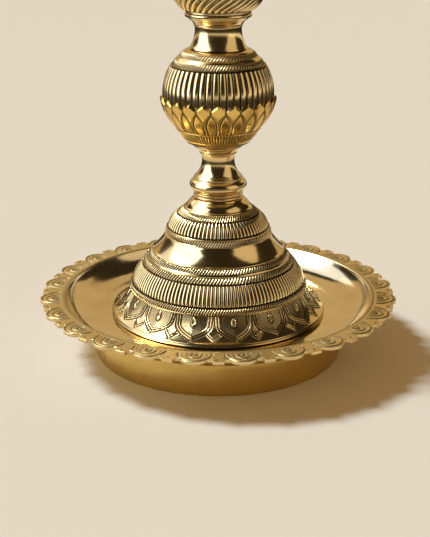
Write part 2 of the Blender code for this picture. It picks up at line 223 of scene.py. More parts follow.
def bridge(low, high, low_start, high_start):
    """Faces between two rows of vertices, whose counts are equal or a whole multiple of each other."""
    if low == 1 or high == 1:
        many, start = (high, high_start) if low == 1 else (low, low_start)
        here = np.arange(many)
        after = (here + 1) % many
        if low == 1:
            return np.stack([np.full(many, low_start), start + after, start + here], 1), None
        return np.stack([start + here, start + after, np.full(many, high_start)], 1), None
    if low == high:
        here = np.arange(low)
        after = (here + 1) % low
        corners = [low_start + here, low_start + after, high_start + after, high_start + here]
        return None, np.stack(corners, 1)
    few, many = min(low, high), max(low, high)
    times = many // few
    fine = np.arange(many)
    fine_after = (fine + 1) % many
    owner = (fine // times + (fine % times >= times // 2)) % few
    coarse = np.arange(few)
    middle = coarse * times + times // 2
    if low < high:
        slices = np.stack([low_start + owner, high_start + fine_after, high_start + fine], 1)
        fill = np.stack([low_start + coarse, low_start + (coarse + 1) % few, high_start + middle], 1)
    else:
        slices = np.stack([low_start + fine, low_start + fine_after, high_start + owner], 1)
        fill = np.stack([low_start + middle, high_start + (coarse + 1) % few, high_start + coarse], 1)
    return np.concatenate([slices, fill]), None


def turned_mesh(name, rows, facets, foot):
    """A closed mesh from the rows of a closed outline."""
    points, cavities, starts, counts = [], [], [], []
    total = 0
    for radius, height, cavity, density in rows:
        count = 1 if np.ndim(radius) == 0 and radius < 1e-6 else facets * density
        angle = np.arange(count) * TAU / count
        radius = np.broadcast_to(radius, count)
        level = np.broadcast_to(foot + height, count)
        points.append(np.stack([radius * np.sin(angle), -radius * np.cos(angle), level], 1))
        cavities.append(np.broadcast_to(cavity, count))
        starts.append(total)
        counts.append(count)
        total += count
    triangles, quads = [], []
    for here in range(len(rows)):
        after = (here + 1) % len(rows)
        if counts[here] == 1 and counts[after] == 1:
            continue
        three, four = bridge(counts[here], counts[after], starts[here], starts[after])
        if three is not None:
            triangles.append(three)
        if four is not None:
            quads.append(four)
    loops = np.concatenate([part.ravel() for part in quads + triangles]).astype(np.int32)
    sizes = np.concatenate([np.full(len(part), part.shape[1]) for part in quads + triangles])
    mesh = bpy.data.meshes.new(name)
    mesh.vertices.add(total)
    mesh.vertices.foreach_set("co", (np.concatenate(points) * MM).astype(np.float32).ravel())
    mesh.loops.add(len(loops))
    mesh.loops.foreach_set("vertex_index", loops)
    mesh.polygons.add(len(sizes))
    mesh.polygons.foreach_set("loop_start", np.concatenate([[0], np.cumsum(sizes)[:-1]]).astype(np.int32))
    mesh.update(calc_edges=True)
    mesh.shade_smooth()
    mesh.set_sharp_from_angle(angle=math.radians(38.0))
    attribute = mesh.attributes.new("cavity", "FLOAT", "POINT")
    attribute.data.foreach_set("value", np.concatenate(cavities).astype(np.float32))
    return mesh


def turn(node, body, slot, material, facets, rows):
    """Makes the finished piece that stands for a CAD node."""
    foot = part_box(node)[0].z / MM
    piece = bpy.data.objects.new("brass_" + node, turned_mesh(node, rows, facets, foot))
    bpy.context.scene.collection.objects.link(piece)
    piece.data.materials.append(material)
    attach(piece, body)
    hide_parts(node)
    return piece


def node_size(node):
    """(radius, height) of a CAD node."""
    low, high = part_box(node)
    return (high.x - low.x) / 2.0 / MM, (high.z - low.z) / MM


def node_height(node):
    return node_size(node)[1]


# Drip plate

RIM_PETALS = 24
RIM_PITCH = TAU / RIM_PETALS
RIM_INNER = 93.3
RIM_SPINE = 99.7
LOBE_R = 8.1
LOBE_CENTRE = 6.4
NOTCH = 10.2
TOOTH = 13.3
TOOTH_HALF = 3.1


def rim_side(angle):
    """Distance across a petal from its middle line, in mm at the spine's radius."""
    return np.abs(wrapped(angle - RIM_PITCH / 2.0, RIM_PITCH)) * RIM_SPINE


def rim_edge(angle):
    """The radius of the rim's edge: a round petal, a notch, a square tooth, a notch."""
    x = rim_side(angle)
    lobe = LOBE_CENTRE + np.sqrt(np.maximum(LOBE_R**2 - x**2, 0.0))
    off_tooth = np.abs(x - RIM_PITCH / 2.0 * RIM_SPINE)
    tooth = NOTCH + (TOOTH - NOTCH) * smooth((TOOTH_HALF + 0.3 - off_tooth) / 0.6)
    return RIM_INNER + np.maximum(np.maximum(lobe, tooth), NOTCH)


def rim_engraving(angle, radius):
    """(lift, cavity) of the chased rim: two arches on each petal, with marks between them, and a dot."""
    x = rim_side(angle)
    y = radius - RIM_INNER
    outer = np.hypot(x / 9.6, (y - 3.0) / 10.0)
    inner = np.hypot(x / 4.3, (y - 4.5) / 5.4)
    above = smooth((y - 2.6) / 0.5)
    grooves = stroke(outer, 1.0, 0.045) + 0.95 * stroke(inner, 1.0, 0.08) + 0.9 * stroke(inner, 0.36, 0.14)
    nick = np.abs(wrapped(x - 0.5, 1.3))
    grooves += 0.7 * stroke(nick, 0.0, 0.24) * smooth((0.86 - outer) / 0.06) * smooth((inner - 1.3) / 0.2)
    grooves *= above
    dot = np.hypot(x - RIM_PITCH / 2.0 * RIM_SPINE, y - 10.4)
    grooves += smooth((0.9 - dot) / 0.45)
    crest = above * (stroke(outer, 0.93, 0.04) + stroke(inner, 0.82, 0.08))
    beads = 0.5 + 0.5 * np.cos(angle * 432)
    edge = smooth((1.1 - y) / 0.3)
    lift = (0.1 * crest - 0.34 * grooves) * (1.0 - edge) + edge * (0.24 * beads * smooth(y / 0.3) - 0.05)
    dark = grooves * (1.0 - edge) + edge * (0.6 - 0.5 * beads) + 0.6 * stroke(y, 1.3, 0.2)
    return lift, clip01(dark)


DISH_FACETS = 432
RIM_DENSITY = 4


def drip_dish(material):
    height = node_height("drip_dish")
    under = 0.0
    floor = 2.7
    seat = floor - 0.12
    rim_under = height - 2.9
    angle = np.arange(DISH_FACETS * RIM_DENSITY) * TAU / (DISH_FACETS * RIM_DENSITY)
    edge = rim_edge(angle)
    rows = [row(0.0, under), row(30.0, under), row(60.0, under)]
    rows += arc((78.0, under), (95.0, rim_under), 2.6, 8)
    rows += [row(98.0, rim_under)]
    for inset, rise in ((0.5, 0.7), (0.12, 0.85), (0.0, 1.2)):
        rows.append(row(edge - inset, rim_under + rise, 0.3, RIM_DENSITY))
    for inset, drop in ((0.0, 0.35), (0.06, 0.1), (0.2, 0.0)):
        rows.append(row(edge - inset, height - drop, 0.0, RIM_DENSITY))
    inner = RIM_INNER + 0.15
    for share in np.linspace(0.985, 0.0, 44):
        r = inner + (edge - 0.2 - inner) * share
        lift, dark = rim_engraving(angle, r)
        fade = smooth((edge - r) / 0.5)
        rows.append(row(r, height + lift * fade, dark * fade, RIM_DENSITY))
    rows += plain((RIM_INNER - 0.15, height - 0.12), (RIM_INNER - 0.45, height - 0.45))
    rows += plain((RIM_INNER - 0.75, height - 1.0))
    rows += arc((RIM_INNER - 1.0, height - 1.7), (79.5, floor + 0.75), -2.0, 18)
    rows += plain((78.2, floor + 0.45), (76.8, floor + 0.2), (75.2, floor + 0.05))
    rows += plain((73.6, floor), (71.2, floor), (70.4, floor - 0.02), (67.4, floor - 0.1))
    rows += plain((66.4, seat), (65.4, seat), (50.0, seat), (0.0, seat))
    turn("drip_dish", "drip_plate", "polished_brass", material, DISH_FACETS, rows)


def foot_ring(material):
    radius, height = node_size("foot_ring")
    inner = radius - 3.8
    rows = plain((radius - 1.2, 0.0), (radius - 0.5, 0.1), (radius - 0.1, 0.5), (radius, 1.1))
    rows += plain((radius, 4.0), (radius, 10.0), (radius, 16.0), (radius, height - 0.8))
    rows += plain((radius - 0.2, height - 0.2), (radius - 0.7, height), (inner + 0.6, height))
    rows += plain((inner, height - 0.6), (inner, 10.0), (inner, 0.6), (inner + 0.6, 0.0))
    turn("foot_ring", "drip_plate", "satin_brass", material, 288, rows)


# Bell base

BELL_FACETS = 768


def bell_base(material):
    n = BELL_FACETS
    rows = plain((61.4, 0.0), (63.6, 0.0), (64.2, 0.2), (64.5, 0.6), (64.6, 1.2))
    rows += plain((64.4, 1.5), (64.0, 1.65), (64.0, 1.8), cavity=0.5)
    rows += plain((64.3, 1.95), (64.4, 2.2), (64.2, 2.5), (63.8, 2.65))
    rows += worked(n, (63.5, 2.75), (52.9, 14.7), -1.2, 60, flare_petals, density=2)
    rows += plain((52.6, 14.95), cavity=0.9)
    rows += bead(53.3, 15.05, 15.8, 0.3)
    rows += plain((53.4, 15.95), cavity=0.8)
    rows += worked(n, (53.7, 16.05), (52.7, 18.9), 0.45, 9, milled(216, 0.35, 1.0), density=2)
    rows += plain((52.5, 19.15), cavity=0.9)
    rows += worked(n, (52.3, 19.4), (45.9, 31.2), 1.0, 20, reeds(132, 0.9, 0.35), density=2)
    rows += plain((45.4, 31.4), cavity=0.9)
    rows += worked(n, (45.4, 31.55), (43.6, 34.2), 0.15, 8, milled(150, 0.45, 1.0), density=2)
    rows += plain((43.0, 34.4), cavity=0.9)
    rows += arc((42.7, 34.5), (42.0, 35.8), 0.25, 4)
    rows += plain((41.8, 36.0), cavity=0.9)
    rows += worked(n, (41.9, 36.1), (40.1, 38.4), 0.15, 8, milled(150, 0.45, 1.0), density=2)
    rows += plain((39.8, 38.55), cavity=0.8)
    rows += bead(39.6, 38.6, 39.3, 0.2, 4)
    rows += arc((39.2, 39.5), (32.0, 48.4), -0.35, 10)
    rows += bead(31.8, 48.6, 49.2, 0.22, 4)
    rows += worked(n, (31.8, 49.4), (31.2, 51.9), 0.15, 8, milled(125, 0.4, 1.0), density=2)
    rows += plain((30.9, 52.1), cavity=0.8)
    rows += bead(30.8, 52.2, 53.0, 0.3, 4)
    rows += plain((30.4, 53.1), cavity=0.9)
    rows += worked(n, (30.3, 53.2), (24.4, 61.7), 1.1, 16, reeds(75, 1.0, 0.4), density=2)
    rows += plain((23.9, 61.9), cavity=0.9)
    rows += worked(n, (23.8, 62.05), (20.9, 64.5), 0.2, 8, milled(96, 0.4, 1.0))
    rows += plain((20.4, 64.75), cavity=0.8)
    rows += arc((20.2, 64.9), (19.6, 65.5), 0.12, 3)
    rows += arc((19.3, 65.7), (15.3, 70.1), 0.5, 7)
    rows += plain((14.8, 70.9), (14.2, 71.1), (10.5, 71.1), (10.1, 70.7), (10.1, 59.7), (10.5, 59.4))
    rows += plain((21.5, 59.4), (27.2, 51.7), (28.4, 47.7), (41.3, 31.2))
    rows += plain((49.2, 19.1), (50.0, 14.7), (60.4, 0.3))
    turn("bell_base", "bell", "polished_brass", material, n, rows)


def bell_socket(material):
    rows = plain((15.6, 0.0), (16.0, 0.4), (16.0, 3.3), (15.6, 3.7), (10.2, 3.7), (9.8, 4.1))
    rows += plain((9.8, 15.0), (9.4, 15.4), (5.6, 15.4), (5.0, 14.8), (5.0, 0.6), (5.6, 0.0))
    turn("bell_socket", "bell", "turned_brass", material, 64, rows)


# Lower stem


# Radii of the bores that fit over a core tube and over a stud, and the studs' thread
SLEEVE_BORE = 7.9
STUD_BORE = 5.0
THREAD_PITCH = 2.0


def bored(rows, height, bore=SLEEVE_BORE):
    """Closes a sleeve's outline down its bore."""
    return rows + plain((bore + 0.4, height), (bore, height - 0.4), (bore, 0.4), (bore + 0.4, 0.0))


def core(node, body, material):
    radius, height = node_size(node)
    rows = plain((radius - 0.4, 0.0), (radius, 0.4), (radius, height - 0.4), (radius - 0.4, height))
    turn(node, body, "turned_brass", material, 64, bored(rows, height, STUD_BORE))


def stud(node, body, material):
    radius, height = node_size(node)
    facets = 64
    steps = int(height * 4)
    rows = [row(0.0, 0.0), row(radius - 1.2, 0.0)]
    rows += worked(facets, (radius, 0.9), (radius, height - 0.9), 0.0, steps, thread(THREAD_PITCH, 1.0))
    rows += [row(radius - 1.2, height), row(0.0, height)]
    turn(node, body, "turned_brass", material, facets, rows)


def neck_ring(material):
    radius, height = node_size("neck_ring")
    rows = plain((radius - 0.7, 0.0)) + bead(radius - 0.5, 0.15, 1.6, 0.5, 7)
    rows += plain((radius - 1.0, 1.8), cavity=0.9)
    rows += bead(radius - 0.5, 2.0, height - 0.15, 0.5, 7) + plain((radius - 0.7, height))
    turn("neck_ring", "lower_stem", "polished_brass", material, 192, bored(rows, height))


def collar_spool(material):
    height = node_height("collar_spool")
    rows = plain((14.6, 0.0), (15.2, 0.1))
    rows += arc((15.4, 0.4), (15.3, 6.4), 1.55, 14)
    rows += plain((14.9, 6.75), (14.5, 6.9), (14.4, 7.05)) + plain((14.3, 7.2), cavity=0.7)
    rows += bead(14.2, 7.4, 8.3, 0.35, 5) + plain((13.8, 8.5), cavity=0.8)
    rows += arc((13.7, 8.7), (10.0, 22.0), -1.9, 18)
    rows += plain((10.1, 22.2), cavity=0.5) + bead(10.6, 22.3, 23.3, 0.45, 5)
    rows += plain((10.8, 23.5), cavity=0.6)
    rows += arc((11.2, 23.6), (13.8, 26.4), -0.45, 6)
    rows += plain((13.9, 26.6), cavity=0.6) + bead(14.3, 26.7, 27.6, 0.45, 5)
    rows += plain((14.5, 27.8), cavity=0.7)
    rows += arc((15.0, 27.9), (18.2, 29.2), -0.25, 4) + plain((18.6, 29.5), (18.6, 29.9), (18.3, height))
    turn("collar_spool", "lower_stem", "polished_brass", material, 224, bored(rows, height))


CUP_PETALS = 24
CUP_FACETS = 960


def cup_across(angle):
    """0 on a petal's middle line and 1 midway between two petals."""
    pitch = TAU / CUP_PETALS
    return np.abs(wrapped(angle, pitch)) / (pitch / 2.0)


def cup_top(angle):
    """How far up the wall the rim lies at this angle, from 0 to 1."""
    return 1.0 - 0.15 * cup_across(angle) ** 1.15


def cup_relief(angle, share, radius):
    """(lift, cavity) of the petals, with a leaf between each two and a cut along the edge of both."""
    across = cup_across(angle)
    half_mm = math.pi / CUP_PETALS * radius
    climb = clip01(share / 0.74)
    leaf = 0.64 + 0.75 * climb * (1.0 - climb) - 0.64 * climb**2.6
    boundary = (1.0 - across - leaf) * half_mm
    groove = stroke(boundary, 0.0, 0.42) * smooth((0.9 - share) / 0.1)
    petal = smooth(boundary / 1.2)
    inner_leaf = smooth(-boundary / 0.9)
    inset = stroke(boundary, 1.15, 0.24) * smooth((0.85 - share) / 0.2) * smooth((share - 0.05) / 0.1)
    lift = 0.12 * petal - 0.1 + 0.1 * inner_leaf - 0.55 * groove - 0.2 * inset
    tip = smooth((across - 0.86) / 0.1) * smooth((share - 0.74) / 0.1)
    return lift - 0.3 * tip, clip01(groove + 0.8 * inset + 0.7 * tip)


def lotus_cup(material):
    height = node_height("lotus_cup")
    n = CUP_FACETS
    angle = np.arange(n) * TAU / n
    rows = plain((18.8, 0.0), (19.4, 0.15), (19.9, 0.7), (20.2, 1.3)) + plain((20.3, 1.55), cavity=0.7)
    rows += worked(n, (20.6, 1.7), (24.0, 6.6), 0.25, 12, milled(90, 0.25, 0.0))
    rows += plain((24.1, 6.85), cavity=0.8) + bead(24.6, 6.95, 7.7, 0.3, 4) + plain((24.8, 7.8), cavity=0.8)
    wall = arc_points((25.0, 7.9), (34.0, height), 1.7, 60)
    share_of = np.linspace(0.0, 1.0, len(wall))
    tangent = np.gradient(wall, axis=0)
    tangent /= np.linalg.norm(tangent, axis=1)[:, None]
    top = cup_top(angle)

    def on_wall(share):
        parts = (wall[:, 0], wall[:, 1], tangent[:, 1], -tangent[:, 0])
        return [np.interp(share, share_of, part) for part in parts]

    for step in np.linspace(0.0, 0.93, 42):
        share = step * top
        r, h, nr, nh = on_wall(share)
        lift, dark = cup_relief(angle, share, r)
        rows.append(row(r + nr * lift, h + nh * lift, dark))
    r, h, nr, nh = on_wall(top)
    rows.append(row(r - 0.95, h - 0.06, 0.0))
    inner = 32.65
    rows.append(row(np.full(n, inner + 0.12), h - 0.1, 0.1))
    rows.append(row(np.full(n, inner), h - 0.5, 0.5))
    rows += plain((inner, height - 3.65), (30.95, height - 3.7), (30.9, height - 6.0))
    rows += plain((28.0, 14.1), (21.0, 6.6), (14.0, 3.6), (8.3, 3.6), (7.9, 3.2), (7.9, 0.4), (8.3, 0.0))
    turn("lotus_cup", "lower_stem", "satin_brass", material, n, rows)


DOME_FLUTES = 50


def fluted_dome(material):
    radius, height = node_size("fluted_dome")
    n = DOME_FLUTES * 18
    centre = 6.6

    def sphere(h):
        return math.sqrt(radius**2 - (h - centre) ** 2)

    rows = plain((28.6, 0.0), (30.4, 0.0), (30.5, 2.1), (31.4, 2.25))
    flutes = reeds(DOME_FLUTES, 1.1, 0.9, first=math.radians(1.2))
    start, end = (sphere(2.4), 2.4), (sphere(23.3), 23.3)
    chord = math.dist(start, end)
    bow = radius - math.sqrt(radius**2 - (chord / 2.0) ** 2)
    rows += worked(n, start, end, bow, 34, flutes)
    rows += plain((27.4, 23.6), (26.6, 23.9), cavity=0.7)
    rows += worked(n, (26.2, 24.1), (24.9, 26.4), 0.2, 8, milled(96, 0.4, 1.0))
    rows += plain((24.5, 26.6), cavity=0.6) + arc((24.3, 26.75), (22.6, 28.4), 0.15, 4)
    rows += plain((22.4, 28.5), cavity=0.6)
    rows += worked(n, (22.2, 28.6), (20.6, 30.8), 0.2, 8, milled(75, 0.4, 1.0))
    rows += plain((20.2, 31.0), cavity=0.6) + arc((20.0, 31.1), (17.6, height - 0.1), 0.2, 4)
    rows += plain((16.8, height), (8.3, height), (7.9, height - 0.4), (7.9, 29.2))
    rows += plain((8.3, 28.9), (17.0, 28.6), (24.0, 21.6), (28.8, 13.6), (30.0, 6.6), (28.4, 1.6))
    turn("fluted_dome", "lower_stem", "polished_brass", material, n, rows)


def neck_trumpet(material):
    height = node_height("neck_trumpet")
    rows = plain((16.2, 0.0), (16.6, 0.2))
    rows += arc((16.5, 0.5), (13.4, 12.4), -1.0, 16)
    rows += plain((13.5, 12.7), cavity=0.5) + bead(13.8, 12.9, 13.8, 0.35, 5)
    rows += plain((14.0, 14.0), cavity=0.6)
    rows += arc((14.3, 14.2), (16.4, 16.4), -0.25, 5) + plain((16.5, 16.6), cavity=0.7)
    rows += arc((16.9, 16.7), (18.4, 17.9), -0.2, 4)
    rows += plain((18.8, 18.1), (19.0, 18.5), (19.0, 19.7), (18.7, 20.1), (18.2, height))
    turn("neck_trumpet", "lower_stem", "polished_brass", material, 224, bored(rows, height))


KNOP_REEDS = 34


def spiral_knop(material):
    radius, height = node_size("spiral_knop")
    n = KNOP_REEDS * 22
    centre, half = height / 2.0 - 0.15, 22.5
    angle = np.arange(n) * TAU / n
    relief = spiral(KNOP_REEDS, 1.6, 1.35, 1.6)
    steps = 54
    low, high = 0.35, height - 0.35
    rows = plain((18.6, 0.0))
    length = high - low
    for step in range(steps + 1):
        h = low + length * (0.5 - 0.5 * math.cos(math.pi * step / steps))
        share = (h - centre) / half
        r = radius * math.sqrt(1.0 - share**2)
        slope = -radius**2 * (h - centre) / half**2 / r
        norm = math.hypot(1.0, slope)
        lift, dark = relief(angle, h - low, length, r)
        rows.append(row(r + lift / norm, h - lift * slope / norm, dark))
    rows += plain((18.4, height), (8.3, height), (7.9, height - 0.4), (7.9, height - 2.6))
    rows += plain((16.6, height - 2.6), (25.2, height / 2.0), (16.6, 2.6), (7.9, 2.6), (7.9, 0.4), (8.3, 0.0))
    turn("spiral_knop", "lower_stem", "polished_brass", material, n, rows)


def knop_cap(material):
    radius, height = node_size("knop_cap")
    rows = plain((radius - 0.9, 0.0)) + bead(radius - 0.6, 0.15, height - 0.15, 0.6, 9)
    rows += plain((radius - 0.9, height))
    turn("knop_cap", "lower_stem", "polished_brass", material, 224, bored(rows, height))


# Upper stem


def upper_neck(material):
    height = node_height("upper_neck")
    rows = plain((18.3, 0.0), (18.8, 0.2), (19.0, 0.6), (19.0, 1.7), (18.6, 2.2), (17.2, 2.5))
    rows += plain((16.7, 2.7), cavity=0.7)
    rows += arc((16.3, 2.9), (12.9, 18.8), -4.2, 20)
    rows += plain((13.1, 19.1), cavity=0.6) + bead(13.6, 19.3, 20.2, 0.4, 5) + plain((13.8, 20.4), cavity=0.7)
    rows += bead(14.1, 20.5, height - 0.2, 0.5, 6) + plain((13.7, height))
    turn("upper_neck", "upper_stem", "polished_brass", material, 224, bored(rows, height))


def upper_ball(material):
    radius, height = node_size("upper_ball")
    n = 36 * 14
    rows = plain((12.4, 0.0), (13.0, 0.3)) + plain((13.0, 0.6), cavity=0.6)
    rows += worked(n, (12.7, 0.8), (12.7, height - 0.8), radius - 12.7, 22, reeds(36, 0.85, 1.1))
    rows += plain((13.0, height - 0.6), cavity=0.6) + plain((13.0, height - 0.3), (12.4, height))
    turn("upper_ball", "upper_stem", "polished_brass", material, n, bored(rows, height))


def bowl_trumpet(material):
    height = node_height("bowl_trumpet")
    n = 768
    rows = plain((12.9, 0.0)) + bead(13.1, 0.15, 1.9, 0.4, 5) + plain((12.4, 2.1), cavity=0.7)
    rows += bead(11.7, 2.3, 3.3, 0.4, 5) + plain((11.2, 3.5), cavity=0.6)
    rows += arc((11.0, 3.7), (11.4, 17.6), -0.9, 12)
    rows += plain((11.6, 17.8), cavity=0.6)
    rows += worked(n, (11.9, 18.0), (24.6, 30.8), -2.0, 26, reeds(48, 0.8, 1.2))
    rows += plain((25.0, 31.1), cavity=0.9)
    rows += worked(n, (25.4, 31.3), (27.9, 33.2), 0.2, 7, milled(96, 0.4, 1.0))
    rows += plain((28.2, 33.4), cavity=0.8) + bead(28.7, 33.5, 34.4, 0.35, 4)
    rows += plain((29.0, 34.6), (29.2, 35.9), (32.2, 36.4), (32.8, 36.7))
    rows += plain((33.0, 37.1), (33.0, 37.6), (32.6, height))
    turn("bowl_trumpet", "upper_stem", "polished_brass", material, n, bored(rows, height))


# Oil bowl

SPOUTS = 5
SPOUT_HALF = math.radians(21.0)
BOWL_FACETS = 600


def spout_pull(angle):
    """1 on the point of a spout, 0 between the spouts."""
    share = np.maximum(0.0, 1.0 - np.abs(wrapped(angle, TAU / SPOUTS)) / SPOUT_HALF)
    return share**1.5


def oil_bowl(material):
    height = node_height("oil_bowl")
    n = BOWL_FACETS
    angle = np.arange(n) * TAU / n
    pull = spout_pull(angle)
    floor, rim, reach = 2.8, 58.5, 13.6

    def drawn(r, h, cavity=0.0, lift=0.0):
        rise = max(0.0, (h - floor) / (height - floor)) ** 1.6
        return row(r + reach * pull * rise + lift, h, cavity)

    rows = [row(8.4, 0.0), row(32.0, 0.0), row(33.0, 0.05)]
    for r, h in arc_points((34.5, 0.25), (56.9, 20.4), 4.4, 20):
        rows.append(drawn(r, h))
    cuts = milled(150, 0.4, 1.0)
    rows.append(drawn(57.0, 20.7, 0.8))
    for along in np.linspace(0.0, 2.6, 8):
        lift, dark = cuts(angle, along, 2.6, rim)
        rows.append(drawn(57.4 + along * 0.25, 20.9 + along, dark, lift))
    rows.append(drawn(57.9, 23.7, 0.8))
    for r, h in arc_points((58.1, 23.9), (58.1, 26.2), 0.5, 5):
        rows.append(drawn(r, h))
    rows += [drawn(57.7, height - 0.25), drawn(57.1, height), drawn(56.3, height), drawn(55.8, height - 0.2)]
    rows.append(drawn(55.6, height - 0.6))
    for r, h in arc_points((55.3, height - 1.6), (36.0, floor + 0.1), -4.2, 20):
        rows.append(drawn(r, h))
    rows += plain((34.0, floor), (24.0, floor), (16.0, floor), (8.3, floor), (7.9, floor - 0.4), (7.9, 0.4))
    turn("oil_bowl", "bowl", "polished_brass", material, n, rows)


def bowl_boss(material):
    height = node_height("bowl_boss")
    flange = 3.1
    rows = plain((7.3, 0.0), (7.6, 0.3), (7.6, flange), (13.4, flange), (13.9, flange + 0.3))
    rows += plain((14.0, flange + 0.9), (13.6, flange + 1.6), (11.2, flange + 2.0))
    rows += plain((10.4, flange + 2.3), cavity=0.6)
    rows += arc((10.0, flange + 2.6), (10.4, 17.4), -1.0, 12) + plain((10.6, 17.7), cavity=0.6)
    rows += bead(11.0, 17.9, 19.3, 0.5, 6) + plain((10.9, 19.5), cavity=0.6)
    rows += plain((11.3, 19.7), (11.5, 20.1), (11.5, 21.7), (11.1, height))
    turn("bowl_boss", "bowl", "polished_brass", material, 192, bored(rows, height, STUD_BORE))


# Finial


def finial_cup(material):
    height = node_height("finial_cup")
    n = 336
    rows = plain((12.6, 0.0)) + bead(13.2, 0.15, 2.6, 1.0, 8) + plain((12.2, 2.9), cavity=0.7)
    rows += arc((11.8, 3.1), (13.2, 15.4), -3.0, 16) + plain((13.5, 15.7), cavity=0.6)
    rows += worked(n, (14.0, 15.9), (15.4, 17.9), 0.15, 6, milled(56, 0.35, 1.0))
    rows += plain((15.5, 18.1), cavity=0.7) + bead(15.5, 18.3, height - 0.2, 0.45, 5) + plain((15.2, height))
    turn("finial_cup", "finial", "polished_brass", material, n, bored(rows, height, STUD_BORE))


def finial_ball(material):
    radius, height = node_size("finial_ball")
    n = 28 * 18
    rows = plain((10.3, 0.0), (10.8, 0.3)) + plain((10.8, 0.7), cavity=0.6)
    start, end = (10.6, 0.9), (10.6, height - 0.9)
    rows += worked(n, start, end, radius - 10.6, 36, reeds(28, 1.0, 1.5))
    rows += plain((10.8, height - 0.7), cavity=0.6) + plain((10.8, height - 0.3), (10.3, height))
    turn("finial_ball", "finial", "polished_brass", material, n, bored(rows, height, STUD_BORE))


def finial_spire(material):
    height = node_height("finial_spire")
    shank, n = 34.3, 192
    rows = [row(0.0, 0.0), row(3.6, 0.0)]
    rows += worked(n, (4.7, 0.9), (4.7, shank - 1.0), 0.0, 120, thread(THREAD_PITCH, 0.8))
    rows += plain((4.7, shank), (11.8, shank)) + bead(12.0, shank + 0.2, shank + 3.4, 1.2, 9)
    rows += plain((11.2, shank + 3.7), cavity=0.7)
    rows += arc((10.6, shank + 4.0), (6.9, 48.6), -1.6, 14) + plain((7.1, 49.0), cavity=0.6)
    rows += bead(8.0, 49.3, 52.3, 1.4, 9) + plain((7.0, 52.6), cavity=0.7)
    rows += arc((6.6, 53.0), (5.0, 65.4), -0.6, 12) + plain((5.2, 65.8), cavity=0.6)
    rows += bead(6.0, 66.1, 68.9, 1.2, 8) + plain((5.0, 69.2), cavity=0.7)
    rows += arc((4.8, 69.6), (3.5, 79.0), -0.5, 10) + plain((3.5, 79.4), cavity=0.5)
    rows += bead(3.8, 79.7, 81.3, 0.6, 6) + plain((3.5, 81.6), cavity=0.5)
    rows += arc((3.7, 81.9), (2.0, 103.6), 2.7, 24)
    rows += plain((1.4, 105.4), (0.8, 106.9), (0.35, 107.8)) + [row(0.0, height)]
    turn("finial_spire", "finial", "polished_brass", material, n, rows)


# Materials


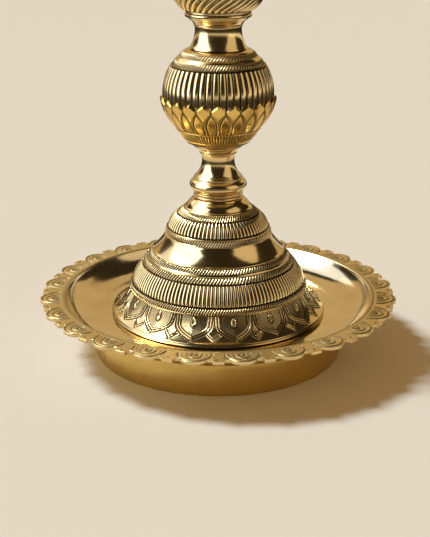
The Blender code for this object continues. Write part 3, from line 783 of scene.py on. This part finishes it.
def brass(name, clean, patina, roughness, grain=0.0, satin=0.0, matte_rim=None):
    """Brass with patina in its cuts, faint clouds of tarnish and lathe lines round the axis.

    grain is the depth of a fine stipple and satin the depth of the lathe lines, both from 0 to 1.
    matte_rim is a radius in metres and a colour: beyond that radius the metal is matte and has that colour.
    """
    material = bpy.data.materials.new(name)
    material.use_nodes = True
    nodes, links = material.node_tree.nodes, material.node_tree.links
    shader = nodes["Principled BSDF"]
    shader.inputs["Metallic"].default_value = 1.0

    def node(kind, **settings):
        made = nodes.new(kind)
        for key, value in settings.items():
            setattr(made, key, value)
        return made

    def noise(scale, detail, vector=None):
        made = node("ShaderNodeTexNoise")
        made.inputs["Scale"].default_value = scale
        made.inputs["Detail"].default_value = detail
        if vector is not None:
            links.new(vector, made.inputs["Vector"])
        return made.outputs["Fac"]

    def math_node(operation, first, second):
        made = node("ShaderNodeMath", operation=operation)
        for socket, value in zip(made.inputs, (first, second)):
            if isinstance(value, (int, float)):
                socket.default_value = value
            else:
                links.new(value, socket)
        return made.outputs[0]

    def remap(value, low, high, to_low, to_high):
        made = node("ShaderNodeMapRange")
        links.new(value, made.inputs["Value"])
        limits = (("From Min", low), ("From Max", high), ("To Min", to_low), ("To Max", to_high))
        for socket, number in limits:
            made.inputs[socket].default_value = number
        return made.outputs["Result"]

    def mix(share, first, second):
        made = node("ShaderNodeMix", data_type="RGBA")
        links.new(share, made.inputs["Factor"])
        for socket, value in ((made.inputs[6], first), (made.inputs[7], second)):
            if isinstance(value, tuple):
                socket.default_value = (*value, 1.0)
            else:
                links.new(value, socket)
        return made.outputs[2]

    place = node("ShaderNodeTexCoord").outputs["Object"]
    cavity = node("ShaderNodeAttribute", attribute_name="cavity").outputs["Fac"]
    clouds = noise(38.0, 3.0, place)
    fine_clouds = noise(160.0, 2.0, place)

    split = node("ShaderNodeSeparateXYZ")
    links.new(place, split.inputs[0])
    across, deep = split.outputs[0], split.outputs[1]
    square = math_node("ADD", math_node("MULTIPLY", across, across), math_node("MULTIPLY", deep, deep))
    radial = math_node("SQRT", square, 0.0)
    around = node("ShaderNodeCombineXYZ")
    links.new(math_node("MULTIPLY", radial, 900.0), around.inputs[0])
    links.new(math_node("MULTIPLY", split.outputs[2], 900.0), around.inputs[1])
    lines = noise(1.0, 3.0, around.outputs[0])

    tarnished = tuple(channel * tint for channel, tint in zip(clean, (0.80, 0.70, 0.55)))
    tone = mix(remap(clouds, 0.42, 0.72, 0.0, 0.55), clean, tarnished)
    if matte_rim:
        rim_from, rim_colour = matte_rim
        outer = remap(radial, rim_from, rim_from + 0.5 * MM, 0.0, 1.0)
        tone = mix(outer, tone, rim_colour)
    shade = remap(math_node("ADD", cavity, math_node("MULTIPLY", fine_clouds, 0.25)), 0.22, 1.05, 0.0, 1.0)
    links.new(mix(shade, tone, patina), shader.inputs["Base Color"])

    clouded = remap(clouds, 0.35, 0.75, roughness, roughness + 0.09)
    rough = math_node("ADD", clouded, math_node("MULTIPLY", shade, 0.28))
    rough = math_node("ADD", rough, math_node("MULTIPLY", math_node("SUBTRACT", lines, 0.5), 0.12 * satin))
    if matte_rim:
        rough = math_node("ADD", rough, math_node("MULTIPLY", outer, MATTE))
    links.new(rough, shader.inputs["Roughness"])

    height = math_node("MULTIPLY", lines, 0.00004 * satin)
    stipple = math_node("MULTIPLY", noise(1500.0, 2.0, place), 0.00005 * grain)
    if matte_rim:
        stipple = math_node("MULTIPLY", stipple, outer)
    height = math_node("ADD", height, stipple)
    dents = noise(70.0, 2.0, place)
    height = math_node("ADD", height, math_node("MULTIPLY", dents, 0.00012))
    bump = node("ShaderNodeBump")
    bump.inputs["Strength"].default_value = 1.0
    bump.inputs["Distance"].default_value = 1.0
    links.new(height, bump.inputs["Height"])
    links.new(bump.outputs[0], shader.inputs["Normal"])
    return material


CLEAN = (0.88, 0.68, 0.35)
PALE = (0.90, 0.77, 0.52)
RIM = (0.88, 0.68, 0.33)
GOLDEN = (0.83, 0.57, 0.17)
# The foot ring's brass: its own colour, darkened and made more orange as painted shade for the dish's shadow
# over the ring
SHADED_RING_BRASS = (0.66, 0.46, 0.14)
PATINA = (0.09, 0.055, 0.02)
MATTE = 0.20


def build_lamp():
    dish = brass("dish_brass", PALE, PATINA, 0.11, grain=0.8, satin=0.25, matte_rim=(92.4 * MM, RIM))
    # The foot ring's base colour carries painted shade for the shadow of the dish above it
    ring = brass("ring_brass", SHADED_RING_BRASS, PATINA, 0.26, satin=0.8)
    bell = brass("bell_brass", CLEAN, PATINA, 0.11, satin=0.15)
    stem = brass("stem_brass", CLEAN, PATINA, 0.15, satin=0.2)
    cup = brass("cup_brass", GOLDEN, PATINA, 0.20, grain=0.15)
    turned = brass("turned_brass", (0.60, 0.44, 0.20), PATINA, 0.32, satin=0.8)

    drip_dish(dish)
    foot_ring(ring)
    bell_base(bell)
    bell_socket(turned)
    stud("stem_stud", "stem_stud", turned)
    core("lower_core", "lower_stem", turned)
    neck_ring(stem)
    collar_spool(stem)
    lotus_cup(cup)
    fluted_dome(stem)
    neck_trumpet(stem)
    spiral_knop(stem)
    knop_cap(stem)
    stud("upper_stud", "upper_stud", turned)
    core("upper_core", "upper_stem", turned)
    upper_neck(stem)
    upper_ball(stem)
    bowl_trumpet(stem)
    stud("bowl_stud", "bowl_stud", turned)
    oil_bowl(stem)
    bowl_boss(stem)
    stud("finial_stud", "finial_stud", turned)
    finial_cup(stem)
    finial_ball(stem)
    finial_spire(stem)


# Studio

def stage_material():
    """A plain, pale, matte floor."""
    material = bpy.data.materials.new("pale_stage")
    material.use_nodes = True
    shader = material.node_tree.nodes["Principled BSDF"]
    shader.inputs["Base Color"].default_value = (0.86, 0.82, 0.755, 1.0)
    shader.inputs["Roughness"].default_value = 0.9
    shader.inputs["Specular IOR Level"].default_value = 0.1
    return material


def ring_mesh(name, outline, facets=96):
    """A sheet of revolution of the outline, which doesn't reach the axis."""
    turns = [TAU * k / facets for k in range(facets)]
    vertices = [(r * math.sin(turn), -r * math.cos(turn), h) for r, h in outline for turn in turns]
    faces = []
    for ring in range(len(outline) - 1):
        for k in range(facets):
            low, after = ring * facets + k, ring * facets + (k + 1) % facets
            faces.append((low, low + facets, after + facets, after))
    mesh = bpy.data.meshes.new(name)
    mesh.from_pydata(vertices, [], faces)
    mesh.shade_smooth()
    return mesh


def staged(name, mesh, material):
    mesh.materials.append(material)
    thing = bpy.data.objects.new(name, mesh)
    bpy.context.scene.collection.objects.link(thing)
    return thing


def flag_material():
    material = bpy.data.materials.new("dark_flag")
    material.use_nodes = True
    shader = material.node_tree.nodes["Principled BSDF"]
    shader.inputs["Base Color"].default_value = (0.03, 0.022, 0.012, 1.0)
    shader.inputs["Roughness"].default_value = 1.0
    shader.inputs["Specular IOR Level"].default_value = 0.0
    return material


def stage():
    """A pale floor that rises far off into a low sweep, and a dark flag on it that only reflections meet."""
    flat, reach, wall = 3.2, 4.6, 0.5
    outline = [(0.001, 0.0), (0.3, 0.0), (1.0, 0.0), (flat, 0.0)]
    for step in range(1, 13):
        angle = math.pi / 2.0 * step / 12.0
        outline.append((flat + (reach - flat) * math.sin(angle), wall * (1.0 - math.cos(angle))))
    staged("sweep", ring_mesh("sweep", outline), stage_material())

    flag = staged("flag", ring_mesh("flag", [(0.37, 0.004), (reach, 0.02)]), flag_material())
    flag.visible_camera = False
    flag.visible_diffuse = False
    flag.visible_shadow = False


def aim(thing, place, target=(0.0, 0.0, 0.12)):
    direction = [b - a for a, b in zip(place, target)]
    flat = math.hypot(direction[0], direction[1])
    thing.location = place
    bearing = math.atan2(direction[1], direction[0]) - math.pi / 2.0
    thing.rotation_euler = (math.atan2(flat, -direction[2]), 0.0, bearing)


def around(bearing, height, distance):
    """A place at this bearing from the front, to the right where positive, and this height angle."""
    bearing, height = math.radians(bearing), math.radians(height)
    out = distance * math.cos(height)
    return (out * math.sin(bearing), -out * math.cos(bearing), 0.12 + distance * math.sin(height))


def panel(name, place, size, radiance, colour):
    """A softbox that only the lamp's reflections meet."""
    light = bpy.data.lights.new(name, "AREA")
    light.shape = "RECTANGLE"
    light.size, light.size_y = size
    light.energy = radiance * math.pi * size[0] * size[1]
    light.color = colour
    thing = bpy.data.objects.new(name, light)
    bpy.context.scene.collection.objects.link(thing)
    aim(thing, place)
    thing.visible_camera = False
    thing.visible_diffuse = False


def lights():
    key = bpy.data.lights.new("key", "SUN")
    key.energy = 2.45
    key.angle = math.radians(14.0)
    key.color = (0.91, 0.99, 1.0)
    sun = bpy.data.objects.new("key", key)
    bpy.context.scene.collection.objects.link(sun)
    aim(sun, (-25.0, 5.5, 35.5), (0.0, 0.0, 0.0))

    panel("left_box", around(-78.0, 28.0, 1.5), (1.45, 1.70), 2.6, (0.80, 0.87, 1.0))
    panel("left_rear_card", around(-127.0, 40.0, 1.5), (1.0, 1.0), 1.1, (0.90, 0.92, 1.0))
    panel("right_card", around(66.0, 28.0, 1.5), (1.15, 1.35), 0.70, (1.0, 0.82, 0.58))
    panel("back_card", around(180.0, 23.0, 2.5), (4.5, 1.4), 0.53, (1.0, 0.72, 0.35))

    world = bpy.data.worlds.new("studio")
    bpy.context.scene.world = world
    world.use_nodes = True
    nodes, links = world.node_tree.nodes, world.node_tree.links
    fill = nodes["Background"]
    fill.inputs["Color"].default_value = (1.0, 0.61, 0.24, 1.0)
    fill.inputs["Strength"].default_value = 0.33

    def background(colour):
        made = nodes.new("ShaderNodeBackground")
        made.inputs["Color"].default_value = (*colour, 1.0)
        return made.outputs[0]

    def switch(ray, otherwise, where):
        made = nodes.new("ShaderNodeMixShader")
        links.new(path.outputs[ray], made.inputs[0])
        links.new(otherwise, made.inputs[1])
        links.new(where, made.inputs[2])
        return made.outputs[0]

    # Matt surfaces, reflections and the camera each meet a world of their own brightness
    path = nodes.new("ShaderNodeLightPath")
    mirrored = switch("Is Glossy Ray", fill.outputs[0], background((0.028, 0.020, 0.010)))
    seen = switch("Is Camera Ray", mirrored, background((0.70, 0.62, 0.50)))
    links.new(seen, nodes["World Output"].inputs["Surface"])


def camera():
    lens = bpy.data.cameras.new("camera")
    lens.lens = 80.0
    lens.sensor_width = 36.0
    lens.clip_end = 20.0
    thing = bpy.data.objects.new("camera", lens)
    bpy.context.scene.collection.objects.link(thing)
    thing.location = (-0.0019, -0.6822, 0.2931)
    thing.rotation_euler = (math.radians(70.35), 0.0, 0.0)
    bpy.context.scene.camera = thing


build_lamp()
stage()
lights()
camera()
bpy.context.scene.view_settings.view_transform = "Standard"
